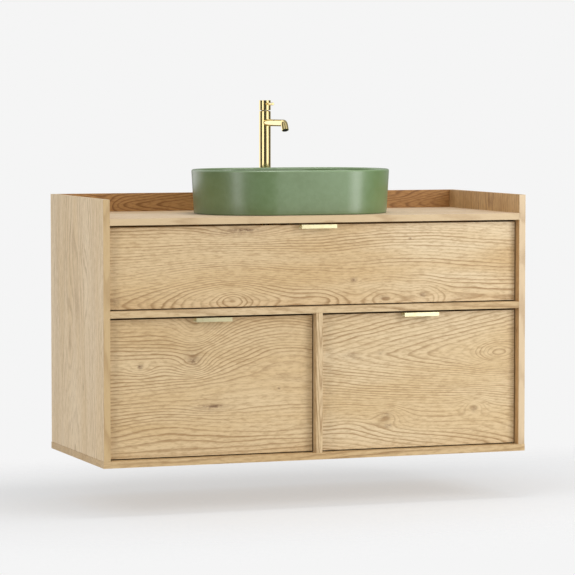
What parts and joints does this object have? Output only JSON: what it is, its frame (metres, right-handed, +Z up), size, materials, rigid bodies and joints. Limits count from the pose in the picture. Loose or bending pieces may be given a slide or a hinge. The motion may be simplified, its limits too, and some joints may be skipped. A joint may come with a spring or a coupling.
{
  "type": "vessel sink on vanity",
  "caption": "Wide wall-hung oak bathroom vanity with inset drawers and edge pulls, carrying an oval vessel basin and a tall single-lever brass tap.",
  "frame": {"origin": "middle of the cabinet's underside: halfway along its width and halfway between the wall plane and the front edges, at the lowest face", "axes": "+Z up, +X to the user's right when facing the drawers, +Y towards the wall; the drawers open along -Y"},
  "size_m": [1.2, 0.5, 0.956],
  "materials": {
    "oak": "matt natural oak with a horizontal or vertical straight to cathedral grain",
    "birch": "pale birch plywood, matt lacquer",
    "steel": "zinc-plated",
    "green_glaze": "satin sage-green glaze",
    "brass": "polished brass gold",
    "pale_brass": "satin pale brass",
    "rubber": "matt black",
    "white_plastic": "moulded white"
  },
  "bodies": {
    "cabinet": {"left_side_panel": "oak", "right_side_panel": "oak", "bottom_panel": "oak", "countertop": "oak", "back_upstand": "oak", "middle_shelf": "oak", "centre_divider": "oak", "upper_back_rail": "oak", "lower_back_panel": "oak", "carcass_screws": "steel", "upper_runner_outer": "steel", "lower_left_runner_outer": "steel", "lower_right_runner_outer": "steel", "basin": "green_glaze", "waste_body": "brass", "waste_gasket": "rubber", "waste_backnut": "brass", "trap_coupling_nut": "white_plastic", "trap_inlet_tube": "white_plastic", "trap_inlet_nut": "white_plastic", "trap_bottle": "white_plastic", "trap_cup": "white_plastic", "trap_outlet_arm": "white_plastic", "trap_outlet_nut": "white_plastic", "tap_column": "brass", "tap_base_ring": "brass", "tap_spout": "brass", "tap_aerator": "rubber", "tap_cartridge": "white_plastic", "tap_clamp_washer": "steel", "tap_clamp_nut": "brass"},
    "upper_drawer": {"upper_drawer_front": "oak", "upper_drawer_left_side": "birch", "upper_drawer_right_side": "birch", "upper_drawer_back": "birch", "upper_drawer_bottom": "birch", "upper_drawer_trap_surround": "birch", "upper_handle": "pale_brass", "upper_runner_inner": "steel"},
    "upper_runner": {"upper_runner_middle": "steel"},
    "lower_left_drawer": {"lower_left_drawer_front": "oak", "lower_left_drawer_left_side": "birch", "lower_left_drawer_right_side": "birch", "lower_left_drawer_back": "birch", "lower_left_drawer_bottom": "birch", "lower_left_handle": "pale_brass", "lower_left_runner_inner": "steel"},
    "lower_left_runner": {"lower_left_runner_middle": "steel"},
    "lower_right_drawer": {"lower_right_drawer_front": "oak", "lower_right_drawer_left_side": "birch", "lower_right_drawer_right_side": "birch", "lower_right_drawer_back": "birch", "lower_right_drawer_bottom": "birch", "lower_right_handle": "pale_brass", "lower_right_runner_inner": "steel"},
    "lower_right_runner": {"lower_right_runner_middle": "steel"},
    "tap_stem": {"tap_spindle": "steel"},
    "tap_handle": {"tap_cap": "brass", "tap_lever": "brass"},
    "waste_stopper": {"waste_plug": "brass"}
  },
  "joints": [
    {"name": "upper_drawer_slide", "type": "slide", "parent": "cabinet", "child": "upper_drawer", "axis": [0, -1, 0], "range_m": [0, 0.36]},
    {"name": "lower_left_drawer_slide", "type": "slide", "parent": "cabinet", "child": "lower_left_drawer", "axis": [0, -1, 0], "range_m": [0, 0.36]},
    {"name": "lower_right_drawer_slide", "type": "slide", "parent": "cabinet", "child": "lower_right_drawer", "axis": [0, -1, 0], "range_m": [0, 0.36]},
    {"name": "upper_runner_slide", "type": "slide", "parent": "cabinet", "child": "upper_runner", "axis": [0, -1, 0], "range_m": [0, 0.18]},
    {"name": "lower_left_runner_slide", "type": "slide", "parent": "cabinet", "child": "lower_left_runner", "axis": [0, -1, 0], "range_m": [0, 0.18]},
    {"name": "lower_right_runner_slide", "type": "slide", "parent": "cabinet", "child": "lower_right_runner", "axis": [0, -1, 0], "range_m": [0, 0.18]},
    {"name": "tap_temperature", "type": "hinge", "parent": "cabinet", "child": "tap_stem", "pos_m": [0, 0.18, 0.934], "axis": [0, 0, 1], "range_deg": [-45, 45]},
    {"name": "tap_flow", "type": "hinge", "parent": "tap_stem", "child": "tap_handle", "pos_m": [0, 0.185, 0.934], "axis": [-1, 0, 0], "range_deg": [0, 12]},
    {"name": "waste_plug_lift", "type": "slide", "parent": "cabinet", "child": "waste_stopper", "axis": [0, 0, 1], "range_m": [0, 0.006]}
  ],
  "couplings": [
    {"joint": "upper_runner_slide", "follows": "upper_drawer_slide", "ratio": 0.5},
    {"joint": "lower_left_runner_slide", "follows": "lower_left_drawer_slide", "ratio": 0.5},
    {"joint": "lower_right_runner_slide", "follows": "lower_right_drawer_slide", "ratio": 0.5}
  ]
}
